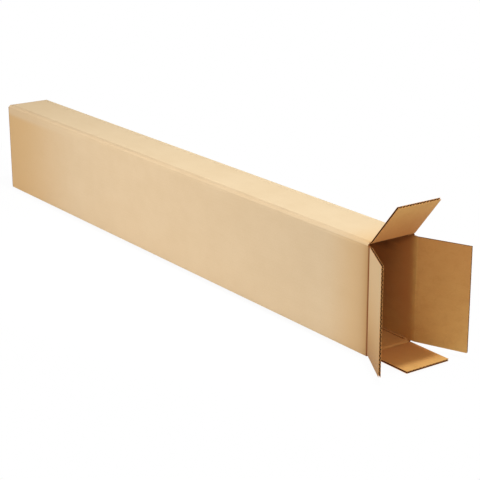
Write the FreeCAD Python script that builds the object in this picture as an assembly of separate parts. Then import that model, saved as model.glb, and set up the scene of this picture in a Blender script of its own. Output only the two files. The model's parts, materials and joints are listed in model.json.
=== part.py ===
# Side-loading shipping carton: a long corrugated tube lying on a long narrow side.
# One end is folded shut and glued.  The four flaps of the other end stand open.
#
# Frame: millimetres.  Origin at the middle of the base panel's outer face, +X towards the
# open end, +Y towards the back panel, +Z up.  The base lies in the plane z = 0.
import FreeCAD, Part
import math
import os
from FreeCAD import Vector

# ---------------------------------------------------------------- driving dimensions
inner_length = 1371.6     # inside, shut end to shut end (54 in)
inner_width = 101.6       # inside, front panel to back panel (4 in)
inner_height = 203.2      # inside, base panel to top panel (8 in)

board = 4.1               # calliper of the single-wall C-flute board
liner = 0.4               # facing paper each side of the flutes
medium = 0.28             # half of the fluted paper, measured across the board
flute_pitch = 7.8         # crest to crest
flank_angle = 53.0        # steepness of the flutes' straight sides, degrees

corner_radius = 4.6       # outside of the long folds
end_radius = 3.4          # outside of the folds at the shut end
bead_radius = 2.0         # roll of inner liner gathered inside a long fold
bead_inset = 1.1          # bead centre from the two inner faces
tab_width = 35.0          # glue tab inside the front panel
tab_taper = 15.0          # slant of the glue tab's two ends, degrees
slot_width = 7.0          # slots between neighbouring flaps, centred on the long folds
lap = 0.5                 # how far the tube's walls run into its shut end
overrun = 3.0             # how far a cutting shape runs past what it cuts

# ---------------------------------------------------------------- named clearances
hinge_lift = 0.15         # hinge line above the outer face, so a flap folds back flat
hinge_gap = 0.42          # board edge to hinge line, each side of a crease
crease_edge = 0.15        # paper left at the very edge of a crease
crush_width = 5.0         # board crushed each side of a crease
flute_start = 1.5         # closed board between a crease and the open flutes
layer_gap = 0.3           # air between shut flaps that lie on each other
flap_short = 4.8          # a shut outer flap ends short of the far panel's outer face
flap_meet = 1.4           # between the free edges of two shut inner flaps
sweep_gap = 0.35          # front flap over the open base flap
side_gap = 0.5            # crushed part of a panel, wider than its flap at each side
fold_stop = 1.0           # beads and glue tab end short of a shut inner flap

# where a flap's cut side may cross a flute without leaving a sliver, across the flutes
crest_zone = 0.5          # this near a crest, or nearer
flank_near = 1.3          # or between these two distances from a crest
flank_far = 2.5

# ---------------------------------------------------------------- angles of the open flaps
# degrees turned outwards from the panel's own plane
front_open = 29.5
back_open = 22.0
top_open = 50.5
base_open = 0.0

# ---------------------------------------------------------------- derived sizes
width = inner_width + 2 * board
height = inner_height + 2 * board
y_front = -width / 2
y_back = width / 2
outer_reach = width - flap_short          # front and back flaps, hinge line to free edge
inner_reach = (height - flap_meet) / 2    # top and base flaps
margin = board / 2 + slot_width / 2
low_margin = board + sweep_gap
x_shut = -inner_length / 2
x_inner = inner_length / 2 + board + hinge_lift
x_front = x_inner + board + layer_gap
x_back = x_front + board + layer_gap
x_slot = x_inner - hinge_gap


def box(x0, x1, y0, y1, z0, z1):
    """A box between two corners."""
    return Part.makeBox(x1 - x0, y1 - y0, z1 - z0, Vector(x0, y0, z0))


def round_edges(solid, radius, wanted):
    """Round the straight edges whose two ends satisfy the test."""
    picked = []
    for edge in solid.Edges:
        ends = [vertex.Point for vertex in edge.Vertexes]
        if len(ends) == 2 and wanted(ends[0]) and wanted(ends[1]):
            picked.append(edge)
    return solid.makeFillet(radius, picked)


def near(a, b):
    return abs(a - b) < 1e-6


def crease_curve(side):
    """Inner liner dipping into a crease, from the board edge to full thickness."""
    points = []
    steps = 6
    for i in range(steps + 1):
        u = i / steps
        dip = 3 * u * u - 2 * u * u * u
        s = hinge_gap + crush_width * u
        t = -hinge_lift - crease_edge - (board - crease_edge) * dip
        points.append(Vector(side * s, 0, t))
    curve = Part.BSplineCurve()
    curve.interpolate(points)
    return curve.toShape(), points[0], points[-1]


def prism(edges, length):
    """Sweep a closed outline in the s-t plane along the hinge line."""
    face = Part.Face(Part.Wire(Part.__sortEdges__(edges)))
    return face.extrude(Vector(0, length, 0))


def polyline(points):
    return [Part.LineSegment(a, b).toShape() for a, b in zip(points, points[1:])]


def crease_cut(length):
    """What the crease takes out of the inner side of a panel that ends at a hinge line."""
    curve, tip, foot = crease_curve(-1)
    deep = foot.z - overrun
    outline = [tip, Vector(overrun, 0, tip.z), Vector(overrun, 0, deep),
               Vector(foot.x, 0, deep), foot]
    return prism([curve] + polyline(outline), length)


def edge_room(place):
    """How far an edge cut is from leaving a sliver, for a place within one flute."""
    step = flute_pitch / 2
    off = abs((place + step) % flute_pitch - step)
    off = min(off, step - off)
    return max(crest_zone - off, min(off - flank_near, flank_far - off))


def flute_phase(length):
    """Where the first flute starts, so both cut sides run through open flutes."""
    choices = [i * 0.1 for i in range(int(flute_pitch * 10))]
    return max(choices, key=lambda c: min(edge_room(c), edge_room(c + length)))


def flute_tunnel(centre, low, reach):
    """One air tunnel between the fluted paper and a liner: straight flanks, round crest."""
    crest = board - 2 * liner - medium
    slope = math.tan(math.radians(flank_angle))
    half = flute_pitch / 4 + (crest - medium) / (2 * slope)
    peak = half * slope
    radius = (peak - crest) / (1 / math.cos(math.radians(flank_angle)) - 1)
    turn_w = radius * math.sin(math.radians(flank_angle))
    turn_h = (half - turn_w) * slope
    level = -hinge_lift - board + liner
    up = 1
    if not low:
        level = -hinge_lift - liner
        up = -1
    start = hinge_gap + crush_width + flute_start

    def corner(w, rise):
        return Vector(start, centre + w, level + up * rise)

    left = corner(-half, 0)
    left_turn = corner(-turn_w, turn_h)
    top = corner(0, crest)
    right_turn = corner(turn_w, turn_h)
    right = corner(half, 0)
    outline = polyline([right_turn, right, left, left_turn])
    outline.append(Part.Arc(left_turn, top, right_turn).toShape())
    face = Part.Face(Part.Wire(Part.__sortEdges__(outline)))
    return face.extrude(Vector(reach - start + overrun, 0, 0))


def flap(length, reach):
    """A flap lying in its panel's plane: s = +X from the hinge line, width = +Y, out = +Z."""
    curve, tip, foot = crease_curve(1)
    top = -hinge_lift
    bottom = -hinge_lift - board
    outline = [foot, Vector(reach, 0, bottom), Vector(reach, 0, top),
               Vector(hinge_gap, 0, top), tip]
    solid = prism([curve] + polyline(outline), length)
    tunnels = []
    phase = flute_phase(length)
    count = int(length / flute_pitch) + 3
    for i in range(-1, count):
        for low in (True, False):
            centre = i * flute_pitch - phase
            if not low:
                centre += flute_pitch / 2
            if -flank_far < centre < length + flank_far:
                tunnels.append(flute_tunnel(centre, low, reach))
    return solid.cut(Part.makeCompound(tunnels))


def place(solid, hinge, s_dir, w_dir, t_dir, opened):
    """Turn a flap outwards about its hinge line and put it in the carton's frame."""
    turned = solid.copy()
    turned.rotate(Vector(0, 0, 0), Vector(0, 1, 0), -opened)
    axes = FreeCAD.Matrix(
        s_dir.x, w_dir.x, t_dir.x, hinge.x,
        s_dir.y, w_dir.y, t_dir.y, hinge.y,
        s_dir.z, w_dir.z, t_dir.z, hinge.z,
        0, 0, 0, 1)
    turned.Placement = FreeCAD.Placement(axes).multiply(turned.Placement)
    return turned


X = Vector(1, 0, 0)
Y = Vector(0, 1, 0)
Z = Vector(0, 0, 1)

# hinge name: (hinge line start, width direction, outward direction, width, reach, opening)
hinges = {
    "top": (Vector(x_inner, y_front + margin, height + hinge_lift), Y, Z,
            width - 2 * margin, inner_reach, top_open),
    "base": (Vector(x_inner, y_back - margin, -hinge_lift), -Y, -Z,
             width - 2 * margin, inner_reach, base_open),
    "front": (Vector(x_front, y_front - hinge_lift, low_margin), Z, -Y,
              height - margin - low_margin, outer_reach, front_open),
    "back": (Vector(x_back, y_back + hinge_lift, height - margin), -Z, Y,
             height - 2 * margin, outer_reach, back_open),
}


def shaped_tube():
    """The four panels, their long folds, the glue tab and the shut end: one folded sheet."""
    x0 = x_shut - lap
    outer = box(x0, x_slot, y_front, y_back, 0, height)

    def long_fold(p):
        at_back = near(p.y, y_back)
        at_top_front = near(p.y, y_front) and near(p.z, height)
        return at_back or at_top_front

    picked = []
    for edge in outer.Edges:
        a, b = [vertex.Point for vertex in edge.Vertexes]
        if near(a.y, b.y) and near(a.z, b.z) and long_fold(a):
            picked.append(edge)
    outer = outer.makeFillet(corner_radius, picked)
    inner = box(x0 - overrun, x_slot + overrun, y_front + board, y_back - board,
                board, height - board)
    body = outer.cut(inner)

    # the glue tab turns up inside the front panel, whose own lower edge is cut square
    tab_face = y_front + board
    x2 = x_shut + fold_stop
    x3 = inner_length / 2 - fold_stop
    slant = (tab_width - board) * math.tan(math.radians(tab_taper))
    tab = Part.Face(Part.makePolygon([
        Vector(x2, tab_face, board), Vector(x3, tab_face, board),
        Vector(x3 - slant, tab_face, tab_width), Vector(x2 + slant, tab_face, tab_width),
        Vector(x2, tab_face, board)])).extrude(Vector(0, board, 0))
    fold = box(x0, x_slot, tab_face, tab_face + corner_radius, 0, corner_radius)
    fold_round = Part.makeCylinder(corner_radius, x_slot - x0,
                                   Vector(x0, tab_face + corner_radius, corner_radius), X)
    body = body.fuse(tab).cut(fold.cut(fold_round))

    # inner liner gathered into a bead along each long fold
    beads = []
    for y, z in ((y_back - board - bead_inset, board + bead_inset),
                 (y_back - board - bead_inset, height - board - bead_inset),
                 (y_front + board + bead_inset, height - board - bead_inset),
                 (tab_face + board + bead_inset, board + bead_inset)):
        beads.append(Part.makeCylinder(bead_radius, x3 - x2, Vector(x2, y, z), X))
    body = body.fuse(beads)

    # shut end: short flaps first, then the front flap, then the back flap, glued together
    w0 = y_front + margin
    w1 = y_back - margin
    h1 = height - margin
    one = x_shut - board
    two = one - board
    three = two - board
    ends = []

    def bent(wall, flap_plate, radius, test):
        ends.append(round_edges(wall.fuse(flap_plate).removeSplitter(), radius, test))

    bent(box(one, x0, w0, w1, height - board, height),
         box(one, x_shut, w0, w1, height - inner_reach, height), end_radius,
         lambda p: near(p.x, one) and near(p.z, height))
    bent(box(one, x0, w0, w1, 0, board),
         box(one, x_shut, w0, w1, 0, inner_reach), end_radius,
         lambda p: near(p.x, one) and near(p.z, 0))
    bent(box(two, x0, y_front, y_front + board, margin, h1),
         box(two, one, y_front, y_front + outer_reach, margin, h1), end_radius,
         lambda p: near(p.x, two) and near(p.y, y_front))
    bent(box(three, x0, y_back - board, y_back, margin, h1),
         box(three, two, y_back - outer_reach, y_back, margin, h1), end_radius,
         lambda p: near(p.x, three) and near(p.y, y_back))
    body = body.fuse(ends)

    # open end: front and back panels run on to their own creases
    front_run = box(x_slot, x_front - hinge_gap, y_front, y_front + board, 0, h1)
    back_run = box(x_slot, x_back - hinge_gap, y_back - board, y_back, margin, h1)
    body = body.fuse([front_run, back_run])

    cuts = []
    for name, (hinge, w_dir, t_dir, length, reach, opened) in hinges.items():
        start = -side_gap
        if name == "front":
            start = -low_margin - side_gap
        cut = crease_cut(length + side_gap - start)
        cut.translate(Vector(0, start, 0))
        cuts.append(place(cut, hinge, X, w_dir, t_dir, 0))
    return body.cut(cuts).removeSplitter()


def main():
    os.makedirs("parts", exist_ok=True)
    shapes = {"tube": shaped_tube()}
    for name, (hinge, w_dir, t_dir, length, reach, opened) in hinges.items():
        leaf = flap(length, reach)
        shapes[name + "_flap"] = place(leaf, hinge, X, w_dir, t_dir, opened)
    for name, shape in shapes.items():
        solid = shape.Solids[0] if len(shape.Solids) == 1 else shape
        bounds = solid.BoundBox
        print(name, len(shape.Solids), round(solid.Volume), solid.isValid(),
              [round(v, 1) for v in (bounds.XMin, bounds.YMin, bounds.ZMin,
                                     bounds.XMax, bounds.YMax, bounds.ZMax)])
        solid.exportStep("parts/" + name + ".step")


main()
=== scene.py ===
# Side-loading shipping carton, folded from one sheet of corrugated kraft board.
# The tube is folded up from a flat blank, and each of the eight flaps is laid up from
# two liners and a fluted sheet, then bent at its crease. Lengths are in millimetres
# until a finished piece is scaled to metres.
import json
import math
from collections import namedtuple

import bmesh
import bpy
from mathutils import Matrix, Vector


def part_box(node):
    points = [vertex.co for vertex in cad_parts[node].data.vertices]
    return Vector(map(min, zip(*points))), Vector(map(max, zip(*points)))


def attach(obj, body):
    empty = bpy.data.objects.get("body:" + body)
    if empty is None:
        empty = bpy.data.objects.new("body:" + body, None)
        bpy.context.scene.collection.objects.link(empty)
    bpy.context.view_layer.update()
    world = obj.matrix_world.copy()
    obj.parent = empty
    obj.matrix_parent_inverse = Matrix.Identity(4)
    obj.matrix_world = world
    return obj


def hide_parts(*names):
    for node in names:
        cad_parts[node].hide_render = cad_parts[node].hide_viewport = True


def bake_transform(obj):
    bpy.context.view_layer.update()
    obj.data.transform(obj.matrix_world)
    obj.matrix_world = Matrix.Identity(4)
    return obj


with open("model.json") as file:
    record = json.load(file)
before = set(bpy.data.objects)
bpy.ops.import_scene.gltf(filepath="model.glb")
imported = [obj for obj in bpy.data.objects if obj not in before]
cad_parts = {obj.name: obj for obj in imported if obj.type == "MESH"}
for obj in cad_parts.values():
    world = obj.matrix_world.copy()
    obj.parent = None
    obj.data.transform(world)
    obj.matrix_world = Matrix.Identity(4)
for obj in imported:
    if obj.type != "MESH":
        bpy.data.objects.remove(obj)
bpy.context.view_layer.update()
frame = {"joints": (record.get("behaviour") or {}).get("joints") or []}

MM = 0.001

# ------------------------------------------------------------------ board and folds
BOARD = 4.1               # thickness of the whole board
LINER = 0.4               # facing paper on each side
FLUTING = 0.55            # fluted paper between the liners
PITCH = 7.8               # crest to crest
LIFT = 0.15               # hinge line above the board's outer face
EDGE = 0.42               # from a hinge line back to the panel's own end
CRUSH = 5.0               # board crushed on each side of a crease
CREASE_END = EDGE + CRUSH + 0.08   # from a hinge line, just past the last crushed row
SLOT = 5.55               # from a long fold's corner to the side of a flap
TAB_HEIGHT = 35.0         # glue tab inside the front panel
TAB_SLANT = 8.3           # how far the tab's ends come in over its height
TAB_SHORT = 1.0           # the tab stops short of the flaps shut on the ends
FOLD_RADIUS = 4.6         # outside of a long fold
FOLD_STEPS = 4            # turns that make one long fold
FLAP_SIDE = SLOT - FOLD_RADIUS   # from a fold's last row to the side of a flap
GROOVES = {"front": 5.9, "top": 11.5, "base": 8.0, "back": 8.0}  # from the folds' corners
GROOVE_HALF = 1.0         # half the width of such a groove
GROOVE_DEPTH = 0.3
# rows of the roll of liner inside a fold: each one's distance across and up from the corner
BEAD = ((3.6, 0.3), (3.5, 2.1), (2.1, 3.5), (0.3, 3.6))
BEAD_SHORT = 0.3          # the beads stop short of the tab's ends
CORNER_DIP = 0.6          # the front top fold is crushed a little flat
CREASE_LEFT = {"front": 2.0, "back": 3.7, "top": 2.0, "base": 2.1}  # board left, open end
SHUT_CREASE_LEFT = 1.4    # the shut end is crushed hardest
CREASE_WIDTH = 2.7        # spread of the dark line each side of a hinge: crushed paper, partly painted shade
FLUTE_START = 1.4         # closed board between a hinge line and the open flutes
BEND_START = 0.5          # a flap's bend starts this far inside its hinge line
BEND_END = 2.4            # and ends this far past it
SHUT_BACK_IN = 0.7        # the shut back flap's hinge line, in from the carton's shut face
SHUT_FRONT_IN = 0.5       # the shut front flap's, in from the back flap's inner face
SAME_ROW = 0.01           # points closer than this along an axis are in one row
SMOOTH_ANGLE = 35         # faces that meet at less than this are shaded as one, degrees

# how far each open flap is turned out from its panel's plane, degrees
OPENED = {"top": 50.5, "base": 0.0, "front": 29.5, "back": 22.0}
SHUT = -90.0

# ------------------------------------------------------------------ places from the frame
tube_low, tube_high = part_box("tube")
Y_FRONT = tube_low.y / MM
Y_BACK = tube_high.y / MM
HEIGHT = tube_high.z / MM
WIDTH = Y_BACK - Y_FRONT
hinge = {j["child"]: Vector(j["pos_m"]) / MM for j in frame["joints"]}
X_INNER = hinge["top_flap"].x
X_FRONT = hinge["front_flap"].x
X_BACK = hinge["back_flap"].x
SHUT_INNER = -X_INNER
SHUT_FRONT = tube_low.x / MM + BOARD + SHUT_FRONT_IN
SHUT_BACK = tube_low.x / MM + SHUT_BACK_IN
SHUT_LEFT = SHUT_BACK + EDGE                    # the tube's own two ends
OPEN_RIGHT = X_BACK - EDGE
TAB_END = X_INNER - LIFT - BOARD - TAB_SHORT
REACH = (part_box("base_flap")[1].x / MM) - X_INNER  # every flap's depth
LOW_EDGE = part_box("front_flap")[0].z / MM      # front flap's lower side
X, Y, Z = Vector((1, 0, 0)), Vector((0, 1, 0)), Vector((0, 0, 1))


# ------------------------------------------------------------------ small helpers
def clear_selection():
    if bpy.context.object and bpy.context.object.mode != "OBJECT":
        bpy.ops.object.mode_set(mode="OBJECT")
    bpy.ops.object.select_all(action="DESELECT")


def flat_plane(name, x0, x1, y0, y1, z):
    """A sheet lying flat, millimetres, left in edit mode."""
    clear_selection()
    bpy.ops.mesh.primitive_plane_add(size=1.0)
    sheet = bpy.context.object
    sheet.name = name
    sheet.data.name = name
    sheet.scale = (x1 - x0, y1 - y0, 1)
    sheet.location = ((x0 + x1) / 2, (y0 + y1) / 2, z)
    bpy.ops.object.transform_apply(location=True, rotation=False, scale=True)
    bpy.ops.object.mode_set(mode="EDIT")
    return sheet


def cut_lines(places, axis):
    """Score the sheet straight across at each place along the axis."""
    for place in places:
        bpy.ops.mesh.select_all(action="SELECT")
        point, normal = [0, 0, 0], [0, 0, 0]
        point[axis] = place
        normal[axis] = 1
        bpy.ops.mesh.bisect(plane_co=point, plane_no=normal)


def pick_points(sheet, test):
    """Select the points that pass the test, and say how many there are."""
    made = bmesh.from_edit_mesh(sheet.data)
    bpy.context.tool_settings.mesh_select_mode = (True, False, False)
    made.select_mode = {"VERT"}
    count = 0
    for face in made.faces:
        face.select = False
    for edge in made.edges:
        edge.select = False
    for vert in made.verts:
        vert.select = bool(test(vert))
        count += vert.select
    made.select_flush_mode()
    bmesh.update_edit_mesh(sheet.data)
    return count


def pick_faces(sheet, test):
    """Select the faces whose middle passes the test."""
    made = bmesh.from_edit_mesh(sheet.data)
    bpy.context.tool_settings.mesh_select_mode = (False, False, True)
    made.select_mode = {"FACE"}
    for vert in made.verts:
        vert.select = False
    for edge in made.edges:
        edge.select = False
    for face in made.faces:
        face.select_set(bool(test(face.calc_center_median())))
    bmesh.update_edit_mesh(sheet.data)


def turn(angle, axis, centre):
    """Turn what is selected about an axis through a point, anticlockwise seen from +axis."""
    bpy.ops.transform.rotate(value=-angle, orient_axis=axis, orient_type="GLOBAL",
                             center_override=centre)


def shift(x, y, z):
    bpy.ops.transform.translate(value=(x, y, z))


def apply_modifier(piece, kind, **settings):
    """Add a modifier, set it, and apply it."""
    bpy.context.view_layer.objects.active = piece
    piece.select_set(True)
    modifier = piece.modifiers.new(kind.lower(), kind)
    for key, value in settings.items():
        setattr(modifier, key, value)
    bpy.ops.object.modifier_apply(modifier=modifier.name)


def steps(start, stop, longest):
    """Evenly spaced places between two ends, the ends left out."""
    count = max(1, math.ceil((stop - start) / longest))
    return [start + (stop - start) * i / count for i in range(1, count)]


def rise(value, low, high):
    """0 up to the low value, 1 from the high value on, eased between them."""
    x = min(1.0, max(0.0, (value - low) / (high - low)))
    return x * x * (3 - 2 * x)


def fade(value, near, far):
    """1 up to the near value, 0 from the far value on, eased between them."""
    return 1 - rise(value, near, far)


def hump(value, width):
    """1 at 0, falling off on both sides over about this width."""
    return math.exp(-(value / width) ** 2)


def lay_uv(sheet):
    """UV map in metres on the flat board: along the flutes, then across them."""
    layer = sheet.data.uv_layers.get("board") or sheet.data.uv_layers.new(name="board")
    for loop in sheet.data.loops:
        point = sheet.data.vertices[loop.vertex_index].co
        layer.data[loop.index].uv = (point.x * MM, point.y * MM)


def mark_paper(sheet, creased, brown_and_shade):
    """Point attributes, 0 to 1: worn and crushed paper with painted shade, and browning mixed
    with painted shade and light.
    """
    for name, strength in (("crease", creased), ("brown_and_shade", brown_and_shade)):
        layer = sheet.data.attributes.new(name, "FLOAT", "POINT")
        for vert in sheet.data.vertices:
            layer.data[vert.index].value = strength(vert.co)


def to_metres(piece, place):
    """Put a finished piece in the carton's frame, its object left unturned and unscaled."""
    clear_selection()
    piece.select_set(True)
    bpy.context.view_layer.objects.active = piece
    piece.matrix_world = Matrix.Scale(MM, 4) @ place
    bpy.ops.object.transform_apply(location=True, rotation=True, scale=True)
    bpy.ops.object.shade_smooth_by_angle(angle=math.radians(SMOOTH_ANGLE))


# ------------------------------------------------------------------ finishes
def node(tree, kind, inputs=None, **settings):
    """Add a shader node; each input takes a number, a colour or another node's output."""
    made = tree.nodes.new(kind)
    for key, value in settings.items():
        setattr(made, key, value)
    for key, value in (inputs or {}).items():
        if isinstance(value, bpy.types.NodeSocket):
            tree.links.new(value, made.inputs[key])
        else:
            made.inputs[key].default_value = value
    return made


def srgb(red, green, blue):
    """A colour written 0-255 on screen, as the shader wants it."""
    def linear(value):
        value /= 255
        return value / 12.92 if value <= 0.04045 else ((value + 0.055) / 1.055) ** 2.4
    return (linear(red), linear(green), linear(blue), 1.0)


def spread(tree, source, low, high, out_low, out_high):
    """Stretch a value's range from low..high to out_low..out_high."""
    return node(tree, "ShaderNodeMapRange", {
        "Value": source, "From Min": low, "From Max": high,
        "To Min": out_low, "To Max": out_high}).outputs["Result"]


def times(tree, a, b):
    return node(tree, "ShaderNodeMath", {0: a, 1: b}, operation="MULTIPLY").outputs[0]


def plus(tree, a, b):
    return node(tree, "ShaderNodeMath", {0: a, 1: b}, operation="ADD").outputs[0]


def blend_colour(tree, amount, a, b):
    """Colour a where the amount is 0, and b where it is 1."""
    mix = node(tree, "ShaderNodeMix", data_type="RGBA")
    for key, value in ((0, amount), (6, a), (7, b)):
        if isinstance(value, bpy.types.NodeSocket):
            tree.links.new(value, mix.inputs[key])
        else:
            mix.inputs[key].default_value = value
    return mix.outputs[2]


def kraft_paper(name, pale, deep, brown_and_shade, worn, show_through, crumple, rough):
    """Kraft liner: cloudy tone, fibres, specks, flutes showing through, worn creases, and
    painted shade and light from the two point attributes.

    show_through is how much the flutes show, and crumple how wrinkled the paper is.
    """
    material = bpy.data.materials.new(name)
    material.use_nodes = True
    tree = material.node_tree
    shader = tree.nodes["Principled BSDF"]
    board = node(tree, "ShaderNodeUVMap", uv_map="board").outputs["UV"]

    def noise(stretch, scale, detail, roughness=0.5):
        place = node(tree, "ShaderNodeMapping", {"Vector": board, "Scale": stretch})
        return node(tree, "ShaderNodeTexNoise", {
            "Vector": place.outputs[0], "Scale": scale, "Detail": detail,
            "Roughness": roughness}).outputs[0]

    clouds = noise((1, 1, 1), 11.0, 4.0)
    bands = noise((0.6, 4, 1), 9.0, 2.0)
    fibres = noise((260, 700, 1), 1.0, 3.0, 0.6)
    flecks = noise((700, 420, 1), 1.0, 2.0)
    wrinkles = noise((1.0, 1.5, 1), 30.0, 3.0, 0.55)
    fine_folds = node(tree, "ShaderNodeMath", {
        0: noise((1.0, 1.3, 1), 22.0, 2.0, 0.6), 1: 0.5, 2: 0.012},
        operation="COMPARE").outputs[0]
    split = node(tree, "ShaderNodeSeparateXYZ", {0: board})
    phase = times(tree, split.outputs[1], 2 * math.pi / (PITCH * MM))
    flutes = node(tree, "ShaderNodeMath", {0: phase}, operation="SINE").outputs[0]
    crease = node(tree, "ShaderNodeAttribute", attribute_name="crease").outputs["Fac"]
    # browning mixed with painted shade and light, from a point attribute
    browned = node(tree, "ShaderNodeAttribute", attribute_name="brown_and_shade").outputs["Fac"]

    tone = spread(tree, clouds, 0.3, 0.7, 0.1, 0.55)
    tone = plus(tree, tone, spread(tree, bands, 0.3, 0.7, -0.05, 0.08))
    tone = plus(tree, tone, spread(tree, fibres, 0.25, 0.75, -0.3, 0.3))
    tone = plus(tree, tone, times(tree, flutes, show_through))
    tone = plus(tree, tone, times(tree, spread(tree, wrinkles, 0.3, 0.7, -0.5, 0.5),
                                  0.2 + crumple * 0.5))
    tone = plus(tree, tone, times(tree, fine_folds, crumple * 0.25))
    colour = blend_colour(tree, tone, pale, deep)
    colour = blend_colour(tree, browned, colour, brown_and_shade)
    specks = spread(tree, flecks, 0.70, 0.78, 0.0, 0.18)
    colour = blend_colour(tree, specks, colour, worn)
    # crease marks: worn, crushed paper, and painted shade
    colour = blend_colour(tree, crease, colour, worn)
    tree.links.new(colour, shader.inputs["Base Color"])

    gloss = spread(tree, fibres, 0.2, 0.8, rough - 0.08, rough + 0.06)
    tree.links.new(gloss, shader.inputs["Roughness"])
    shader.inputs["Specular IOR Level"].default_value = 0.3
    height = plus(tree, times(tree, fibres, 0.6), times(tree, flutes, show_through * 2))
    height = plus(tree, height, times(tree, bands, 0.6))
    height = plus(tree, height, times(tree, wrinkles, 0.4 + crumple * 2.0))
    bump = node(tree, "ShaderNodeBump", {
        "Height": height, "Strength": 0.25, "Distance": 0.0004})
    tree.links.new(bump.outputs[0], shader.inputs["Normal"])
    return material


def cut_paper(name, pale, deep):
    """Fluted paper and cut edges: browner, streaked along the flutes."""
    material = bpy.data.materials.new(name)
    material.use_nodes = True
    tree = material.node_tree
    shader = tree.nodes["Principled BSDF"]
    place = node(tree, "ShaderNodeTexCoord").outputs["Object"]
    streaks = node(tree, "ShaderNodeTexNoise", {
        "Vector": place, "Scale": 900.0, "Detail": 3.0, "Roughness": 0.6}).outputs[0]
    clouds = node(tree, "ShaderNodeTexNoise", {
        "Vector": place, "Scale": 60.0, "Detail": 2.0}).outputs[0]
    tone = plus(tree, spread(tree, streaks, 0.25, 0.75, 0.0, 0.7),
                spread(tree, clouds, 0.3, 0.7, -0.1, 0.4))
    colour = blend_colour(tree, tone, pale, deep)
    tree.links.new(colour, shader.inputs["Base Color"])
    gloss = spread(tree, streaks, 0.2, 0.8, 0.82, 0.96)
    tree.links.new(gloss, shader.inputs["Roughness"])
    shader.inputs["Specular IOR Level"].default_value = 0.2
    bump = node(tree, "ShaderNodeBump", {
        "Height": streaks, "Strength": 0.3, "Distance": 0.0003})
    tree.links.new(bump.outputs[0], shader.inputs["Normal"])
    return material


# The browning colours stand for browned paper and for painted shade; the inner one is redder,
# painted in for light bounced round inside the carton. The worn colours serve specks and
# crushed creases, and painted shade too.
kraft_outer = kraft_paper(
    "kraft_outer", pale=srgb(225, 196, 157), deep=srgb(217, 186, 145),
    brown_and_shade=srgb(217, 173, 115), worn=srgb(140, 82, 34),
    show_through=0.03, crumple=0.0, rough=0.72)
kraft_inner = kraft_paper(
    "kraft_inner", pale=srgb(221, 169, 96), deep=srgb(208, 154, 84),
    brown_and_shade=srgb(200, 131, 70), worn=srgb(88, 46, 22),
    show_through=0.035, crumple=1.0, rough=0.80)
fluting = cut_paper("fluting", pale=srgb(152, 92, 44), deep=srgb(120, 70, 32))
# the fluted paper between a flap's liners is painted darker, painted shade in the hollows, so
# a cut edge reads as flutes
shaded_fluting = cut_paper("shaded_fluting", pale=srgb(96, 52, 22), deep=srgb(72, 38, 14))
cut_edge = cut_paper("cut_edge", pale=srgb(240, 168, 96), deep=srgb(212, 140, 76))


def give_finishes(piece, *finishes):
    piece.data.materials.clear()
    for finish in finishes:
        piece.data.materials.append(finish)


def face_finishes(sheet, top, bottom, rim):
    """Which finish each side of a flat, thick sheet takes."""
    for face in sheet.data.polygons:
        if abs(face.normal.z) < 0.5:
            face.material_index = rim
        else:
            face.material_index = top if face.normal.z > 0 else bottom


# ------------------------------------------------------------------ one corrugated flap
CREASE_LINES = (0.1, 0.6, 1.1, 1.7, 2.4, 3.6)      # rows beside a flap's crease, outside
DENT_LINES = (0.6, 1.5, 2.4, 3.4, 4.4, 5.4)        # and inside
CORE_LINES = (2.6, 4.0, 5.4)                       # and in the fluted paper
PLAIN_START = 7.5                                  # past the crease, rows are even
ROW_LENGTH = 17.0
WAVE = (0.0, 0.80, 1.0, 0.80, 0.0, -0.80, -1.0, -0.80, 0.0)   # one flute in eighths
FLUTE_OFFSET = 0.65                                # of a flute, cut off at a flap's side

# darkening of a flap's face, browning or painted shade: at the hinge, at the free edge, share
# kept at the far side
Darkening = namedtuple("Darkening", "hinge free far_share")
PLAIN = Darkening(0.0, 0.0, 1.0)
OUTSIDE = Darkening(0.45, 0.45, 1.0)
# painted shade and light on the flaps' inner faces: the top and base flaps darker near the
# hinge, where shade falls, and the back flap paler towards its lower side, where less light
# reaches
INSIDE_SHADE = {"top": Darkening(0.8, 0.1, 1.0), "base": Darkening(0.85, 0.0, 1.0),
          "front": PLAIN, "back": Darkening(0.45, 0.6, 0.0)}
LOW_SHADE = {"front": 0.8}                            # painted shade along a flap's lower side, which gets less light
DARK_CREASE_INSIDE = ("front", "top")                     # flaps whose crease is dark inside too: crushed paper and painted shade


def inner_level(gap, left):
    """Height of the inner liner's face, this far from a crease that leaves so much board."""
    return -LIFT - left - (BOARD - left) * rise(abs(gap), EDGE, EDGE + CRUSH)


def outer_level(gap):
    """Height of the outer liner's face: a shallow groove along the hinge line."""
    return -LIFT - GROOVE_DEPTH * hump(gap - 0.2, 0.9)


def bent_share(gap):
    """How much of the flap's turn a row takes, from the panel's end to the flap."""
    return rise(gap, -BEND_START, BEND_END)


def near_to(value, place):
    return abs(value - place) < SAME_ROW


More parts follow.
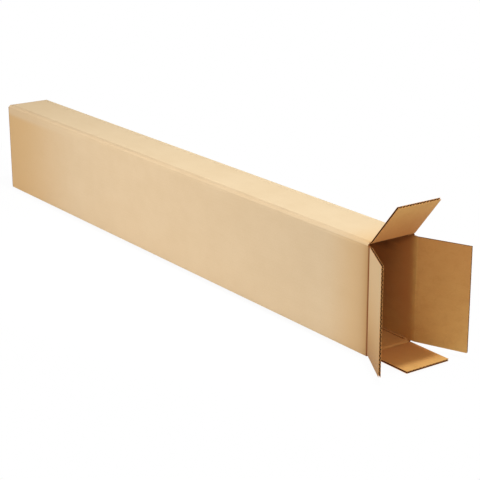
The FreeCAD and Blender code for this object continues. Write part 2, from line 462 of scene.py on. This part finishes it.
def flap_liner(name, width, left, inner, darkening, worn, low_shade):
    """One facing paper of a flap, lying flat with its crease along x = 0.

    worn is for the crease, and the last share is painted shade on the outside's lower part,
    both from 0 to 1.
    """
    sheet = flat_plane(name, -EDGE, REACH, 0, width, 0)
    rows = list(DENT_LINES if inner else CREASE_LINES)
    rows += [PLAIN_START] + steps(PLAIN_START, REACH, ROW_LENGTH)
    cut_lines(rows, 0)
    cut_lines(steps(0, width, ROW_LENGTH), 1)
    for row in [-EDGE] + rows + [REACH]:
        if pick_points(sheet, lambda vert: near_to(vert.co.x, row)):
            shift(0, 0, inner_level(row, left) if inner else outer_level(row))
    bpy.ops.object.mode_set(mode="OBJECT")
    lay_uv(sheet)

    # the crease, and painted shade low on the outside
    def creased(point):
        lower = 1 - point.y / width
        return min(1.0, worn * hump(point.x - 0.1, CREASE_WIDTH) + 0.75 * low_shade * lower ** 3)

    # darkening share: browning and painted shade, and on the inside paler right at the
    # crease, a painted light line
    def brown_and_shade(point):
        along = max(0.0, point.x / REACH) ** 2
        tone = darkening.hinge + (darkening.free - darkening.hinge) * along
        tone *= 1 + (darkening.far_share - 1) * point.y / width
        if inner:
            tone *= 1 - hump(point.x - 0.5, 2.5)
        return tone + low_shade * (1 - point.y / width) ** 2

    mark_paper(sheet, creased, brown_and_shade)
    give_finishes(sheet, kraft_inner if inner else kraft_outer, shaded_fluting, cut_edge)
    apply_modifier(sheet, "SOLIDIFY", thickness=LINER, offset=1.0 if inner else -1.0)
    face_finishes(sheet, 1 if inner else 0, 0 if inner else 1, 2)
    return sheet


def flap_fluting(name, width, left):
    """The fluted paper: one flute is shaped, repeated across and trimmed to the flap."""
    sheet = flat_plane(name, FLUTE_START, REACH, 0, PITCH, 0)
    rows = list(CORE_LINES) + [PLAIN_START] + steps(PLAIN_START, REACH, ROW_LENGTH)
    cut_lines(rows, 0)
    eighth = PITCH / (len(WAVE) - 1)
    cut_lines([eighth * i for i in range(1, len(WAVE) - 1)], 1)
    for row in [FLUTE_START] + rows + [REACH]:
        top = outer_level(row) - LINER
        bottom = inner_level(row, left) + LINER
        half = (top - bottom - FLUTING) / 2
        for i, high in enumerate(WAVE):
            if pick_points(sheet, lambda vert: near_to(vert.co.x, row)
                           and near_to(vert.co.y, eighth * i)):
                shift(0, 0, (top + bottom) / 2 + half * high)
    bpy.ops.object.mode_set(mode="OBJECT")
    count = math.ceil(width / PITCH) + 2
    apply_modifier(sheet, "ARRAY", count=count, use_relative_offset=False,
                   use_constant_offset=True, constant_offset_displace=(0, PITCH, 0),
                   use_merge_vertices=True, merge_threshold=0.01)
    bpy.ops.object.mode_set(mode="EDIT")
    bpy.ops.mesh.select_all(action="SELECT")
    shift(0, -PITCH * FLUTE_OFFSET, 0)
    bpy.ops.mesh.bisect(plane_co=(0, 0, 0), plane_no=(0, 1, 0), clear_inner=True)
    bpy.ops.mesh.select_all(action="SELECT")
    bpy.ops.mesh.bisect(plane_co=(0, width, 0), plane_no=(0, 1, 0), clear_outer=True)
    bpy.ops.object.mode_set(mode="OBJECT")
    lay_uv(sheet)
    mark_paper(sheet, lambda point: 0.0, lambda point: 0.0)
    give_finishes(sheet, shaded_fluting, cut_edge)
    apply_modifier(sheet, "SOLIDIFY", thickness=FLUTING, offset=0.0, material_offset_rim=1)
    return sheet


def join(pieces, name):
    clear_selection()
    for piece in pieces:
        piece.select_set(True)
    bpy.context.view_layer.objects.active = pieces[0]
    bpy.ops.object.join()
    joined = bpy.context.object
    joined.name = name
    joined.data.name = name
    return joined


def bend(flap, opened):
    """Turn a flat flap outwards about its crease, a little more at each row."""
    bpy.ops.object.mode_set(mode="EDIT")
    made = bmesh.from_edit_mesh(flap.data)
    flat = {vert.index: round(vert.co.x, 2) for vert in made.verts}
    for row in sorted(set(flat.values())):
        share = bent_share(row)
        if 0 < share < 1:
            pick_points(flap, lambda vert: flat[vert.index] == row)
            turn(-math.radians(opened) * share, "Y", (0, 0, 0))
    pick_points(flap, lambda vert: bent_share(flat[vert.index]) >= 1)
    turn(-math.radians(opened), "Y", (0, 0, 0))
    bpy.ops.object.mode_set(mode="OBJECT")


# where a flap hangs: its width, its hinge line's start, and three directions, which are
# along the flap away from its panel, across it, and out of the carton
Place = namedtuple("Place", "width point along across out")


def corrugated_flap(name, place, opened, left, darkening=PLAIN, worn=0.0, low_shade=0.0):
    """A flap laid up flat, bent open at its crease, and put on its hinge line.

    left is the board's thickness that the crease leaves, and worn is for its inside, crushed
    paper and painted shade.
    """
    inner = flap_liner(name + "_inner", place.width, left, True, darkening, worn, 0.0)
    outer = flap_liner(name + "_outer", place.width, left, False, OUTSIDE, 1.0, low_shade)
    core = flap_fluting(name + "_core", place.width, left)
    flap = join([outer, inner, core], name)
    bend(flap, opened)
    axes = Matrix((place.along, place.across, place.out)).transposed().to_4x4()
    to_metres(flap, Matrix.Translation(place.point) @ axes)
    return flap


# ------------------------------------------------------------------ the flat blank
def fold_lines():
    """Flat places, along the girth, of the lines that each long fold is turned at."""
    turn_each = math.pi / 2 / FOLD_STEPS
    chord = FOLD_RADIUS / sum(math.cos(turn_each * k) for k in range(1, FOLD_STEPS))
    arc = chord * (FOLD_STEPS - 1)
    tab_corner = Y_FRONT + BOARD
    lines = {"tab": [tab_corner + FOLD_RADIUS - chord * k for k in range(FOLD_STEPS)]}
    place = Y_BACK - FOLD_RADIUS
    for name, length in (("back", HEIGHT), ("top", WIDTH), ("front", 0)):
        lines[name] = [place + chord * k for k in range(FOLD_STEPS)]
        place += arc + length - 2 * FOLD_RADIUS
    return lines


FOLDS = fold_lines()
TAB_FREE = FOLDS["tab"][-1] - (TAB_HEIGHT - FOLD_RADIUS)
FRONT_FREE = FOLDS["front"][-1] + HEIGHT - FOLD_RADIUS

# a panel's first and last row round the girth, then its open end and its shut end
Panel = namedtuple("Panel", "start end near far")
PANELS = {
    "tab": Panel(TAB_FREE, FOLDS["tab"][-1], TAB_END, -TAB_END),
    "base": Panel(FOLDS["tab"][0] + FLAP_SIDE, FOLDS["back"][0] - FLAP_SIDE,
                  X_INNER - EDGE, SHUT_INNER + EDGE),
    "back": Panel(FOLDS["back"][-1] + FLAP_SIDE, FOLDS["top"][0] - FLAP_SIDE,
                  X_BACK - EDGE, SHUT_BACK + EDGE),
    "top": Panel(FOLDS["top"][-1] + FLAP_SIDE, FOLDS["front"][0] - FLAP_SIDE,
                 X_INNER - EDGE, SHUT_INNER + EDGE),
    "front": Panel(FOLDS["front"][-1] + FLAP_SIDE, FRONT_FREE,
                   X_FRONT - EDGE, SHUT_FRONT + EDGE),
}
# finer rows where the paper's wear and painted shade change
FRONT_ROWS = (4, 9, 12, 15, 18, 21, 25)            # down from the front top fold
BACK_ROWS = (16, 22, 28, 34, 40, 47, 54)           # down from the back top fold
OPEN_ROWS = (9, 14, 20, 28, 42)                    # back from the front flap's crease
FOOT_ROW = 5.0                                     # past the groove beside a long fold
CLEAR_OF_GROOVE = 6                                # plain rows keep off the grooves,
CLEAR_OF_WEAR = 16                                 # off the front panel's finer rows,
CLEAR_OF_TAB = (0.8, 1.8)                          # and off the glue tab's two ends
TAB_STEP, PANEL_STEP, LENGTH_STEP = 16, 24, 32     # longest gaps between plain rows


def panel_of(y):
    """Name of the panel at a place round the girth, or None in a long fold."""
    for name, panel in PANELS.items():
        if panel.start - SAME_ROW <= y <= panel.end + SAME_ROW:
            return name
    return None


def end_gap(panel, x):
    """Distance from the nearer of a panel's two creases."""
    return min(panel.near + EDGE - x, x - panel.far + EDGE)


def grooved_sides(name):
    """Where a panel meets its grooved long folds, and the way from there into it."""
    panel = PANELS[name]
    sides = [(panel.start - FLAP_SIDE, 1), (panel.end + FLAP_SIDE, -1)]
    return {"tab": [], "front": sides[:1]}.get(name, sides)


def rows_round():
    """Every place across the blank where it needs a row of points."""
    rows = [line for lines in FOLDS.values() for line in lines]
    rows += steps(TAB_FREE, FOLDS["tab"][-1], TAB_STEP)
    for name in ("base", "back", "top", "front"):
        panel = PANELS[name]
        gap = GROOVES[name] - FOLD_RADIUS
        for fold, into in grooved_sides(name):
            beside = [gap + step for step in (-GROOVE_HALF, 0.0, GROOVE_HALF, FOOT_ROW)]
            rows += [fold + into * reach for reach in [FLAP_SIDE] + beside
                     if reach >= FLAP_SIDE]
        start = panel.start + gap + CLEAR_OF_GROOVE
        if name == "front":
            rows += [FOLDS["front"][-1] + reach for reach in FRONT_ROWS]
            start += CLEAR_OF_WEAR
        elif name == "back":
            rows += [FOLDS["top"][0] - reach for reach in BACK_ROWS]
        rows += steps(start, panel.end - gap - CLEAR_OF_GROOVE, PANEL_STEP)
    return sorted(rows)


def rows_along():
    """Every place along the blank where it needs a row of points: dense at the creases."""
    shut_clear, open_clear = CLEAR_OF_TAB
    rows = [TAB_END, -TAB_END]
    rows += steps(shut_clear - TAB_END, TAB_END - open_clear, LENGTH_STEP)
    for hinge_x, into in ((X_INNER, -1), (X_FRONT, -1), (X_BACK, -1),
                          (SHUT_INNER, 1), (SHUT_FRONT, 1), (SHUT_BACK, 1)):
        rows += [hinge_x + into * gap for gap in (EDGE, 1.6, 3.0, 4.4, EDGE + CRUSH)]
    rows += [X_FRONT - gap for gap in OPEN_ROWS]
    return sorted(row for row in set(rows)
                  if SHUT_LEFT + SAME_ROW < row < OPEN_RIGHT - SAME_ROW)


def off_the_blank(middle):
    """Whether a face of the full rectangle lies in a slot or beyond a panel's end."""
    for panel in PANELS.values():
        if panel.start < middle.y < panel.end:
            return not panel.far < middle.x < panel.near
    return not SHUT_INNER + EDGE < middle.x < X_INNER - EDGE


def cut_blank():
    """The flat sheet with its slots cut, and the glue tab's ends cut on the slant."""
    sheet = flat_plane("carton_tube", SHUT_LEFT, OPEN_RIGHT, TAB_FREE, FRONT_FREE, 0)
    cut_lines(rows_round(), 1)
    cut_lines(rows_along(), 0)
    pick_faces(sheet, off_the_blank)
    bpy.ops.mesh.delete(type="FACE")
    tab_fold = FOLDS["tab"][-1]
    for side in (1, -1):
        pick_faces(sheet, lambda middle: middle.y < tab_fold)
        bpy.ops.mesh.bisect(plane_co=(side * TAB_END, tab_fold, 0),
                            plane_no=(side * (tab_fold - TAB_FREE), -TAB_SLANT, 0),
                            clear_outer=True)
    bpy.ops.object.mode_set(mode="OBJECT")
    lay_uv(sheet)
    return sheet


# ------------------------------------------------------------------ wear on the tube
TILT_SHADE = 0.17            # painted shade on the strip pressed down and tilted beside the front top fold
# worn paper in the grooves beside the long folds, with painted shade
GROOVE_WEAR_AND_SHADE = 0.05
FOLD_WEAR = 0.3           # along the beads inside
BULGE_SHADE = 0.40             # painted shade on the front panel beside its flap, where it bulges
BULGE_SHADE_REACH = 18         # which falls off over this distance
SHUT_SHADE = 0.85          # painted shade towards the shut end, where the light falls off
TOP_SHUT_SHADE = 0.12      # and on top
SHUT_REACH = 360          # the darkened length there
OPEN_TONE = 0.5           # darker towards the open end
FRONT_OPEN_SHADE = 0.6     # and on the front, painted shade where the light falls off
EDGE_SHADE = 0.4           # painted shade right at the open edge
EDGE_REACH = 14
INNER_SHADE = 0.6          # painted shade of the inner paper, browner and redder as light bounced round inside would make it, other than the back wall's


def groove_share(y):
    """1 in the middle of a groove beside a long fold, 0 at its sides."""
    best = 0.0
    for name in PANELS:
        for fold, into in grooved_sides(name):
            line = fold + into * (GROOVES[name] - FOLD_RADIUS)
            best = max(best, 1 - abs(y - line) / GROOVE_HALF)
    return best


def tilt_shade_band(y):
    """Painted shade on the strip of the top panel that is pressed down and tilted beside the
    front fold.
    """
    first, last = FOLDS["front"][0], FOLDS["front"][-1]
    if y > first:
        return TILT_SHADE * fade(y, first, last + 1)
    groove = first - (GROOVES["top"] - FOLD_RADIUS)
    return TILT_SHADE * rise(y, groove - GROOVE_HALF, groove + GROOVE_HALF)


def corner_dip(point):
    """How far the front top fold is pressed in, uneven along its length."""
    first, last = FOLDS["front"][0], FOLDS["front"][-1]
    shut = fade(point.x - SHUT_INNER, 40, 490)
    reach = 6.0 + 8.0 * shut
    away = fade(point.y - last, 0, reach) if point.y >= first else fade(first - point.y, 0, 8)
    uneven = 1 + 0.25 * math.sin(point.x / 83) + 0.2 * math.sin(point.x / 31 + 1)
    depth = CORNER_DIP * (uneven + 0.8 * shut) * rise(point.x, SHUT_LEFT, SHUT_LEFT + 45)
    return depth * away


def wear_and_shade_outside(point):
    """Worn, crushed paper along the creases and in the grooves, partly painted shade, and
    painted shade on the pressed strip and beside the front flap.
    """
    name = panel_of(point.y)
    worn = GROOVE_WEAR_AND_SHADE * groove_share(point.y) + tilt_shade_band(point.y)
    if name not in (None, "tab"):
        gap = end_gap(PANELS[name], point.x)
        # the creases: crushed paper, partly painted shade in the score
        worn += hump(gap, CREASE_WIDTH)
        # painted shade on the front panel beside its flap, where it bulges
        if name == "front" and point.x > 0:
            worn += BULGE_SHADE * math.exp(-gap / BULGE_SHADE_REACH)
    return min(1.0, worn)


def darkened_outside(point):
    """Darkening of the outer paper: painted shade towards the shut end, along the open edge
    and near the front's open end, and darker near the open end elsewhere.
    """
    name = panel_of(point.y)
    from_open = X_INNER - point.x
    shut = TOP_SHUT_SHADE if name in (None, "top") else SHUT_SHADE
    near = OPEN_TONE * fade(from_open, 0, 100)
    if name == "front":
        shut *= 0.25 + 0.75 * rise(point.y - FOLDS["front"][-1], 12, 25)
        near = FRONT_OPEN_SHADE * fade(from_open, 20, 130)
    tone = shut * fade(point.x - SHUT_INNER, 0, SHUT_REACH) + near
    if name:
        tone += EDGE_SHADE * hump(PANELS[name].near + EDGE - point.x, EDGE_REACH)
    return tone


def paper_inside(point):
    """Shares of dark marks and darkening on the tube's inner paper, with painted shadow under
    the top flap and painted shade and light.
    """
    name = panel_of(point.y)
    gap = PANELS[name].near + EDGE - point.x if name else 99.0
    worn = 0.6 * wear_and_shade_outside(point) if name == "top" else 0.0
    if any(near_to(point.y, lines[k]) for lines in FOLDS.values() for k in (0, -1)):
        worn = FOLD_WEAR
    tone, reach = INNER_SHADE, 2.5
    if name == "back":
        above = point.y - FOLDS["back"][-1]
        below = FOLDS["top"][0] - point.y
        # the back wall: paler near the floor, painted light bounced up from the base, and
        # darker near the opening
        tone = 0.1 + 0.55 * rise(above, 15, 85) + 0.2 * fade(X_INNER - point.x, 10, 50)
        reach = 10.0
        # painted shadow on the back wall, under the top panel's open end
        shade = min(0.54 * gap, 45) + 4       # lower edge of the shade under the top flap
        worn += 0.5 * fade(below, shade - 12, shade)
    # paler right at each open crease: painted light reaching in at the open end
    return worn, tone * (1 - hump(gap + 0.5, reach))


def mark_inside(sheet):
    """The inner face takes its own marks and painted shade once the sheet has its thickness.
    """
    crease = sheet.data.attributes["crease"].data
    brown_and_shade = sheet.data.attributes["brown_and_shade"].data
    for vert in sheet.data.vertices:
        if vert.co.z > BOARD / 2:
            crease[vert.index].value, brown_and_shade[vert.index].value = paper_inside(vert.co)


# ------------------------------------------------------------------ the folded tube
def crush_creases(sheet, flat, is_inner):
    """The outer face grooves at each crease and the inner face dips."""
    made = bmesh.from_edit_mesh(sheet.data)
    for vert in made.verts:
        point = flat[vert.index]
        inner = is_inner[vert.index]
        name = panel_of(point.y)
        if not inner:
            groove = groove_share(point.y)
            if groove > 0.5:
                vert.co.z += GROOVE_DEPTH * groove
            vert.co.z += corner_dip(point)
        if name in (None, "tab"):
            continue
        gap = end_gap(PANELS[name], point.x)
        if gap < CREASE_END:
            left = CREASE_LEFT[name] if point.x > 0 else SHUT_CREASE_LEFT
            vert.co.z = -LIFT - (inner_level(gap, left) if inner else outer_level(gap))
    bmesh.update_edit_mesh(sheet.data)


def fold_up(sheet, flat, is_inner):
    """Fold the panels round the base, the farthest fold first, then the glue tab."""
    each = math.pi / 2 / FOLD_STEPS
    turns = [(line, 1) for name in ("front", "top", "back") for line in reversed(FOLDS[name])]
    turns += [(line, -1) for line in reversed(FOLDS["tab"])]
    for line, way in turns:
        pick_points(sheet, lambda vert: way * (flat[vert.index].y - line) > SAME_ROW)
        turn(way * each, "X", (0, line, 0))
        pick_points(sheet, lambda vert: near_to(flat[vert.index].y, line)
                    and is_inner[vert.index])
        turn(way * each / 2, "X", (0, line, 0))


def roll_beads(sheet, flat, is_inner):
    """The inner liner gathers into a bead along each long fold."""
    corners = {"tab": (Y_FRONT + BOARD, 0, 1, 1), "back": (Y_BACK, 0, -1, 1),
               "top": (Y_BACK, HEIGHT, -1, -1), "front": (Y_FRONT, HEIGHT, 1, -1)}
    for name, lines in FOLDS.items():
        corner_y, corner_z, into_y, into_z = corners[name]
        for line, (aside, up) in zip(lines, BEAD):
            if name == "top":
                aside, up = up, aside
            pick_points(sheet, lambda vert: near_to(flat[vert.index].y, line)
                        and is_inner[vert.index] and abs(vert.co.x) < TAB_END - BEAD_SHORT)
            made = bmesh.from_edit_mesh(sheet.data)
            chosen = [vert.co for vert in made.verts if vert.select]
            middle = sum(chosen, Vector()) / len(chosen)
            shift(0, corner_y + into_y * (BOARD + aside) - middle.y,
                  corner_z + into_z * (BOARD + up) - middle.z)


def folded_tube():
    """The blank is cut flat, creased, and folded round the base panel."""
    sheet = cut_blank()
    mark_paper(sheet, wear_and_shade_outside, darkened_outside)
    give_finishes(sheet, kraft_outer, kraft_inner, fluting)
    apply_modifier(sheet, "SOLIDIFY", thickness=BOARD, offset=1.0)
    face_finishes(sheet, 1, 0, 2)
    mark_inside(sheet)
    bpy.ops.object.mode_set(mode="EDIT")
    made = bmesh.from_edit_mesh(sheet.data)
    flat = {vert.index: vert.co.copy() for vert in made.verts}
    is_inner = {index: point.z > BOARD / 2 for index, point in flat.items()}
    crush_creases(sheet, flat, is_inner)
    fold_up(sheet, flat, is_inner)
    roll_beads(sheet, flat, is_inner)
    bpy.ops.object.mode_set(mode="OBJECT")
    to_metres(sheet, Matrix.Identity(4))
    return sheet


# ------------------------------------------------------------------ the carton
tube = folded_tube()
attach(tube, "carton")
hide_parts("tube")

INNER_WIDTH = WIDTH - 2 * SLOT        # top and base flaps
OUTER_WIDTH = HEIGHT - 2 * SLOT       # front and back flaps
open_flaps = {
    "top": Place(INNER_WIDTH, Vector((X_INNER, Y_FRONT + SLOT, HEIGHT + LIFT)), X, Y, Z),
    "base": Place(INNER_WIDTH, Vector((X_INNER, Y_BACK - SLOT, -LIFT)), X, -Y, -Z),
    "front": Place(HEIGHT - SLOT - LOW_EDGE, Vector((X_FRONT, Y_FRONT - LIFT, LOW_EDGE)),
                   X, Z, -Y),
    "back": Place(OUTER_WIDTH, Vector((X_BACK, Y_BACK + LIFT, HEIGHT - SLOT)), X, -Z, Y),
}
for name, place in open_flaps.items():
    flap = corrugated_flap("flap_" + name, place, OPENED[name], CREASE_LEFT[name],
                           INSIDE_SHADE[name], 1.0 if name in DARK_CREASE_INSIDE else 0.0,
                           LOW_SHADE.get(name, 0.0))
    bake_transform(flap)
    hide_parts(name + "_flap")

shut_flaps = {
    "top": Place(INNER_WIDTH, Vector((SHUT_INNER, Y_BACK - SLOT, HEIGHT + LIFT)), -X, -Y, Z),
    "base": Place(INNER_WIDTH, Vector((SHUT_INNER, Y_FRONT + SLOT, -LIFT)), -X, Y, -Z),
    "front": Place(OUTER_WIDTH, Vector((SHUT_FRONT, Y_FRONT - LIFT, HEIGHT - SLOT)),
                   -X, -Z, -Y),
    "back": Place(OUTER_WIDTH, Vector((SHUT_BACK, Y_BACK + LIFT, SLOT)), -X, Z, Y),
}
for name, place in shut_flaps.items():
    flap = corrugated_flap("shut_" + name, place, SHUT, SHUT_CREASE_LEFT)
    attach(flap, "carton")


# ------------------------------------------------------------------ floor, light, camera
FLOOR_DROP = 0.0047       # metres: room for the base flap folded back under the carton


def pale_floor():
    """A white floor that looks white to the camera and still takes the carton's shadow."""
    clear_selection()
    bpy.ops.mesh.primitive_plane_add(size=14.0, location=(0, 0, -FLOOR_DROP))
    floor = bpy.context.object
    floor.name = "floor"
    material = bpy.data.materials.new("pale_floor")
    material.use_nodes = True
    tree = material.node_tree
    tree.nodes.clear()
    matt = node(tree, "ShaderNodeBsdfDiffuse", {"Color": (0.9, 0.9, 0.9, 1)})
    glow = node(tree, "ShaderNodeEmission", {"Color": (1, 1, 1, 1), "Strength": 1.0})
    place = node(tree, "ShaderNodeTexCoord").outputs["Object"]
    oval = node(tree, "ShaderNodeVectorMath", {0: place, 1: (0.75, 1.6, 1.0)},
                operation="MULTIPLY").outputs[0]
    away = node(tree, "ShaderNodeVectorMath", {0: oval}, operation="LENGTH").outputs[1]
    path = node(tree, "ShaderNodeLightPath")
    seen = plus(tree, path.outputs["Is Camera Ray"], path.outputs["Is Glossy Ray"])
    share = times(tree, seen, spread(tree, away, 0.35, 0.85, 0.93, 1.0))
    mix = node(tree, "ShaderNodeMixShader", {0: share, 1: matt.outputs[0],
                                             2: glow.outputs[0]})
    out = node(tree, "ShaderNodeOutputMaterial")
    tree.links.new(mix.outputs[0], out.inputs[0])
    floor.data.materials.append(material)


def studio_world(fill):
    """Even light from all round, with plain white behind the carton."""
    world = bpy.data.worlds.new("studio")
    bpy.context.scene.world = world
    world.use_nodes = True
    tree = world.node_tree
    tree.nodes.clear()
    path = node(tree, "ShaderNodeLightPath")
    white = node(tree, "ShaderNodeBackground", {"Color": (1, 1, 1, 1), "Strength": 1.0})
    soft = node(tree, "ShaderNodeBackground", {"Color": (1, 1, 1, 1), "Strength": fill})
    mix = node(tree, "ShaderNodeMixShader", {
        0: path.outputs["Is Camera Ray"], 1: soft.outputs[0], 2: white.outputs[0]})
    out = node(tree, "ShaderNodeOutputWorld")
    tree.links.new(mix.outputs[0], out.inputs[0])


def soft_lamp(name, place, aim, size, power, tint=(1, 1, 1)):
    """A square area lamp in metres, turned towards a point."""
    bpy.ops.object.light_add(type="AREA", location=place)
    lamp = bpy.context.object
    lamp.name = name
    lamp.data.size = size
    lamp.data.energy = power
    lamp.data.color = tint
    lamp.rotation_mode = "QUATERNION"
    lamp.rotation_quaternion = (Vector(aim) - Vector(place)).to_track_quat("-Z", "Y")


def main_camera():
    """The main view, set from the open end's lower front corner."""
    azimuth = math.radians(54.654)      # 0 looks straight at the front panel
    elevation = math.radians(17.896)
    roll = math.radians(-0.235)
    distance, aside, above = 2547.666, -226.399, 208.152
    sensor, lens = 36.0, 106.9311
    back = Vector((math.sin(azimuth) * math.cos(elevation),
                   -math.cos(azimuth) * math.cos(elevation), math.sin(elevation)))
    right = Vector((math.cos(azimuth), math.sin(azimuth), 0))
    up = right.cross(-back)
    side = right * math.cos(roll) + up * math.sin(roll)
    top = up * math.cos(roll) - right * math.sin(roll)
    corner = Vector((X_FRONT, Y_FRONT, 0))
    place = corner + back * distance + side * aside + top * above
    bpy.ops.object.camera_add()
    camera = bpy.context.object
    camera.name = "camera"
    turned = Matrix((side, top, back)).transposed().to_4x4()
    camera.matrix_world = Matrix.Translation(place * MM) @ turned
    camera.data.sensor_width = sensor
    camera.data.lens = lens
    camera.data.clip_end = 100.0
    bpy.context.scene.camera = camera


clear_selection()
pale_floor()
studio_world(fill=0.40)
soft_lamp("front_lamp", place=(-0.20, -1.05, 0.72), aim=(-0.08, 0, 0.1), size=0.7, power=5.3)
soft_lamp("overhead_lamp", place=(0.66, 0.05, 2.8), aim=(0.7, 0, 0.1), size=0.18, power=45,
          tint=(0.93, 1.05, 1.11))
soft_lamp("side_lamp", place=(1.9, -0.6, 1.9), aim=(0.65, 0, 0.05), size=0.8, power=10.5)
main_camera()
bpy.context.scene.view_settings.view_transform = "Standard"
